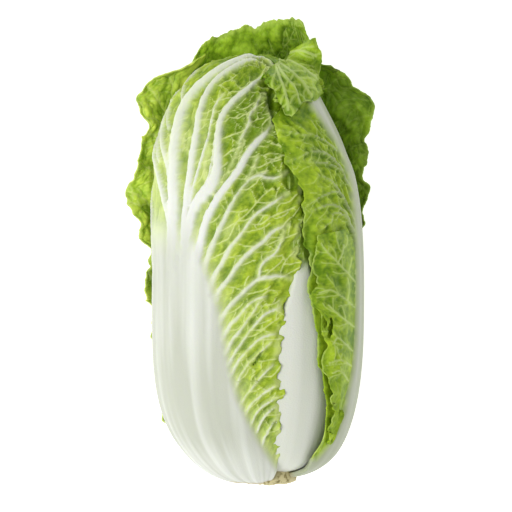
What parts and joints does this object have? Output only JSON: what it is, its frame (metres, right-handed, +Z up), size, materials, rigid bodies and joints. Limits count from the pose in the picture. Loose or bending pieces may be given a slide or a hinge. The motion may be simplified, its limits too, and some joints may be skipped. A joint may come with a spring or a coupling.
{
  "type": "napa cabbage",
  "caption": "Whole napa cabbage head cut at the stem and lying on its back, with broad white ribs, wrinkled green leaves wrapped round a heart, and loose frilled leaves behind.",
  "frame": {"origin": "on the surface the head rests on, under the middle of its bounding box", "axes": "+Z up, +Y along the head towards the leaf tips, -Y out of the cut stem, +X to the right of the side that faces up"},
  "size_m": [0.1608, 0.3242, 0.1269],
  "materials": {
    "head_leaf": "fresh yellow-green leaf with white ribs, waxy satin",
    "loose_leaf": "fresh mid-green frilled leaf, satin",
    "inner_leaf": "pale yellow crisp leaf, satin",
    "cut_stem": "cut stem, matt cream with brown specks"
  },
  "bodies": {
    "root": {"stem": "cut_stem", "front_left_leaf": "head_leaf", "right_leaf": "head_leaf", "front_middle_leaf": "head_leaf", "back_leaf": "loose_leaf", "left_back_leaf": "loose_leaf", "right_back_leaf": "loose_leaf", "inner_leaf_1": "inner_leaf", "inner_leaf_2": "inner_leaf", "inner_leaf_3": "inner_leaf", "inner_leaf_4": "inner_leaf", "inner_leaf_5": "inner_leaf", "inner_leaf_6": "inner_leaf", "inner_leaf_7": "inner_leaf", "inner_leaf_8": "inner_leaf", "heart": "inner_leaf"}
  },
  "joints": []
}
